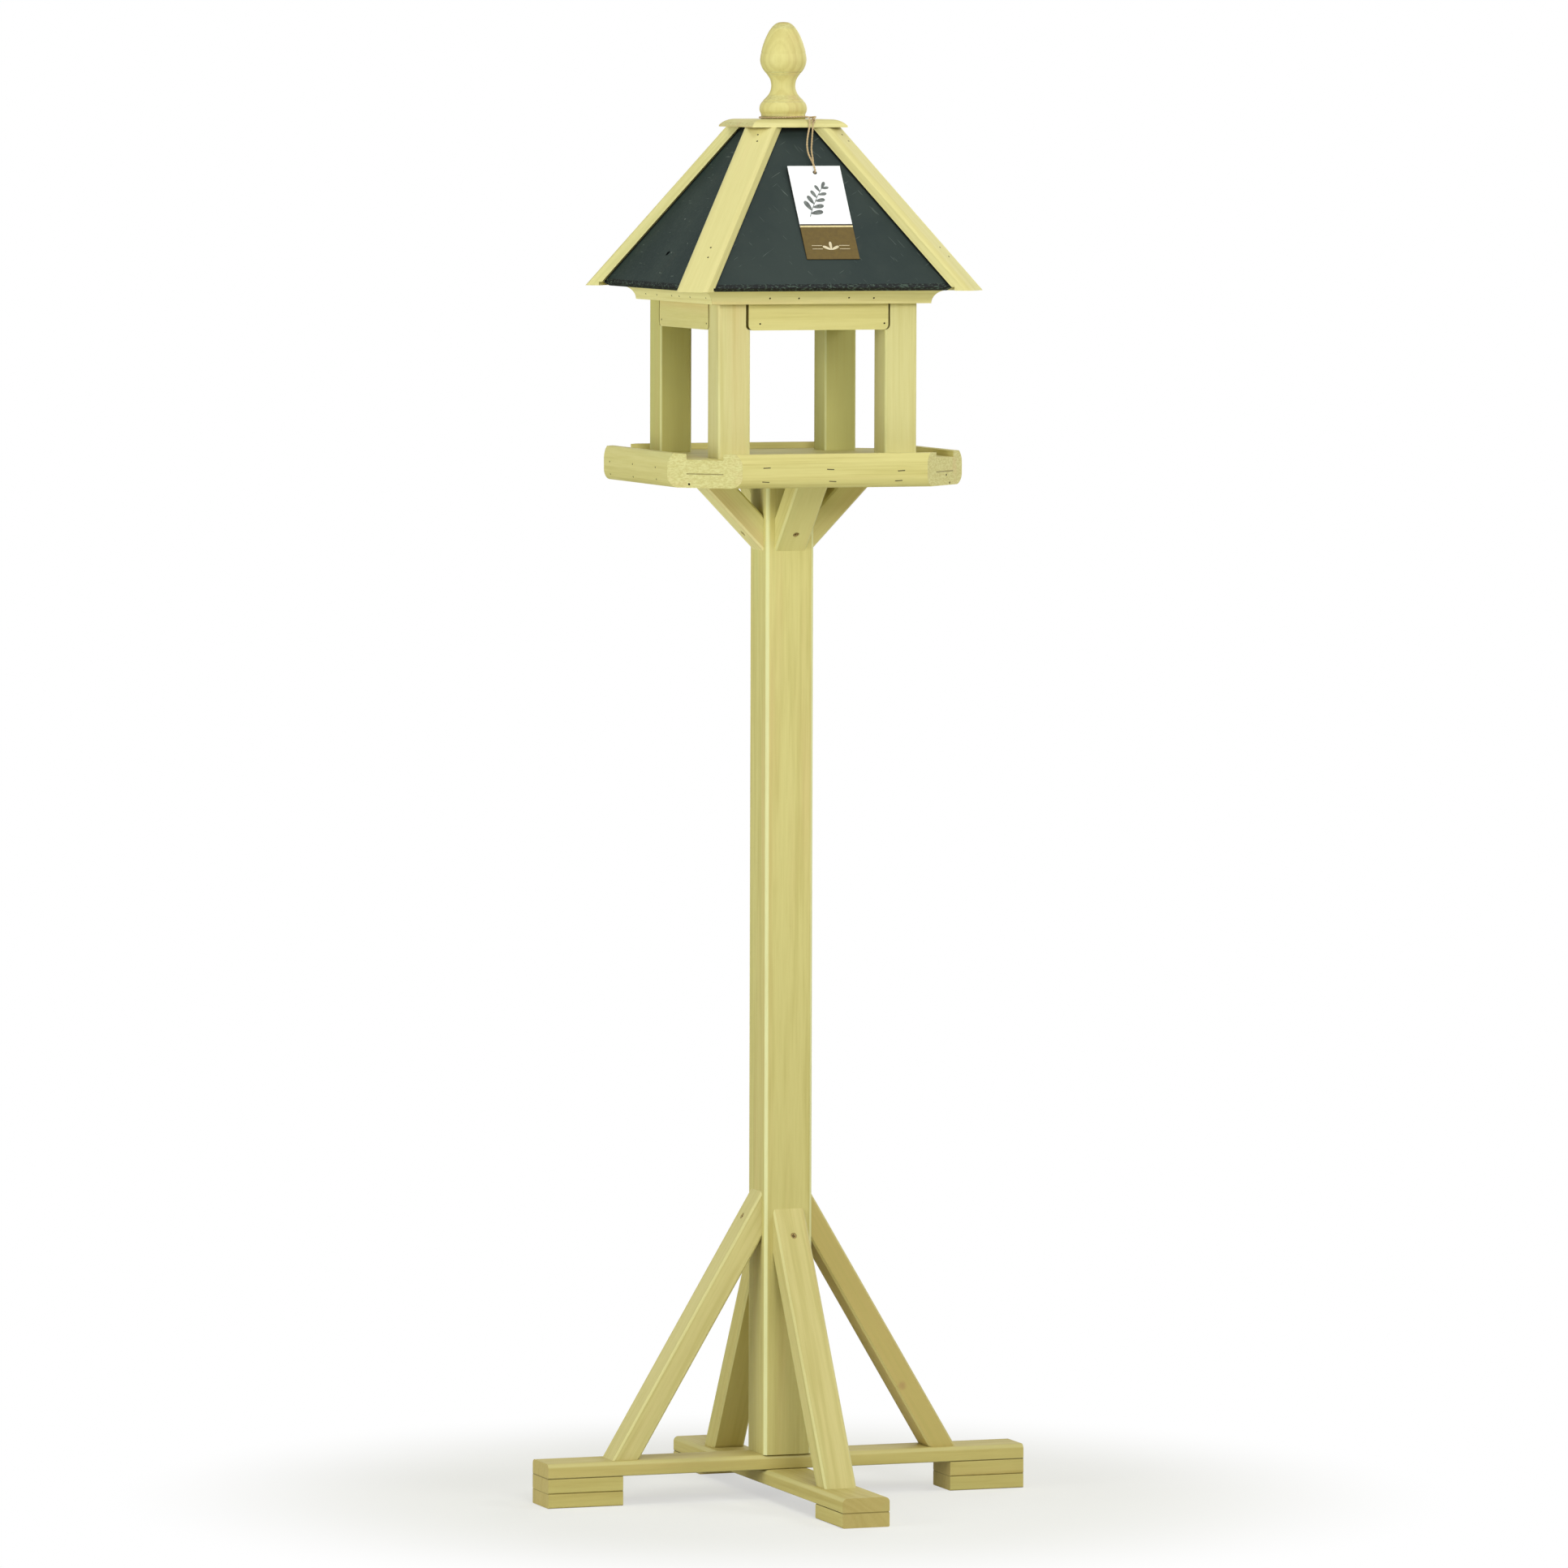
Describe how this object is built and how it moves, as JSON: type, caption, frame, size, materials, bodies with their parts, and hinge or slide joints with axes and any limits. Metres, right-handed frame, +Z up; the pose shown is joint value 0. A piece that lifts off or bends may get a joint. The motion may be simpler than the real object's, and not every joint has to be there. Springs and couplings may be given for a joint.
{
  "type": "bird table",
  "caption": "Free-standing wooden bird table on a braced post with crossed legs, an open roofed tray and a hipped slate roof.",
  "frame": {"origin": "on the floor under the centre of the post, at the undersides of the feet", "axes": "+Z up along the post, -Y the front, which carries the hang tag, +X to the right seen from the front"},
  "size_m": [0.514, 0.514, 1.5],
  "materials": {
    "frame_wood": "satin, pale yellow-green pressure-treated softwood",
    "tray_wood": "satin, pale yellow-green pressure-treated softwood",
    "house_wood": "satin, pale yellow-green pressure-treated softwood",
    "roof_wood": "satin, pale yellow-green pressure-treated softwood",
    "turned_wood": "satin, pale yellow-green pressure-treated softwood",
    "inner_wood": "satin, pale yellow-green pressure-treated softwood",
    "slate": "matte blue-green natural slate (stone)",
    "screw_steel": "dull plated steel",
    "tag_card": "smooth white card with a brown lower band",
    "twine": "hairy jute twine"
  },
  "bodies": {
    "root": {"brace_screws": "screw_steel", "cap_plate": "roof_wood", "corner_post_back_left": "house_wood", "corner_post_back_right": "house_wood", "corner_post_front_left": "house_wood", "corner_post_front_right": "house_wood", "cornice_back": "house_wood", "cornice_front": "house_wood", "cornice_left": "house_wood", "cornice_right": "house_wood", "finial": "turned_wood", "finial_dowel": "turned_wood", "foot_block_back": "frame_wood", "foot_block_front": "frame_wood", "foot_block_left_high": "frame_wood", "foot_block_left_low": "frame_wood", "foot_block_right_high": "frame_wood", "foot_block_right_low": "frame_wood", "foot_screws_across": "screw_steel", "foot_screws_along": "screw_steel", "hang_tag": "tag_card", "header_rail_back": "house_wood", "header_rail_front": "house_wood", "header_rail_left": "house_wood", "header_rail_right": "house_wood", "hip_batten_back_left": "roof_wood", "hip_batten_back_right": "roof_wood", "hip_batten_front_left": "roof_wood", "hip_batten_front_right": "roof_wood", "hip_rafter_back_left": "inner_wood", "hip_rafter_back_right": "inner_wood", "hip_rafter_front_left": "inner_wood", "hip_rafter_front_right": "inner_wood", "king_block": "inner_wood", "long_screws": "screw_steel", "lower_brace_back": "frame_wood", "lower_brace_front": "frame_wood", "lower_brace_left": "frame_wood", "lower_brace_right": "frame_wood", "lower_leg": "frame_wood", "main_post": "frame_wood", "roof_slate_back": "slate", "roof_slate_front": "slate", "roof_slate_left": "slate", "roof_slate_right": "slate", "tag_twine": "twine", "tray_floor": "tray_wood", "tray_side_back": "tray_wood", "tray_side_front": "tray_wood", "tray_side_left": "tray_wood", "tray_side_right": "tray_wood", "tray_sub_base": "tray_wood", "twine_knot": "twine", "upper_brace_back": "frame_wood", "upper_brace_front": "frame_wood", "upper_brace_left": "frame_wood", "upper_brace_right": "frame_wood", "upper_leg": "frame_wood"}
  },
  "joints": []
}
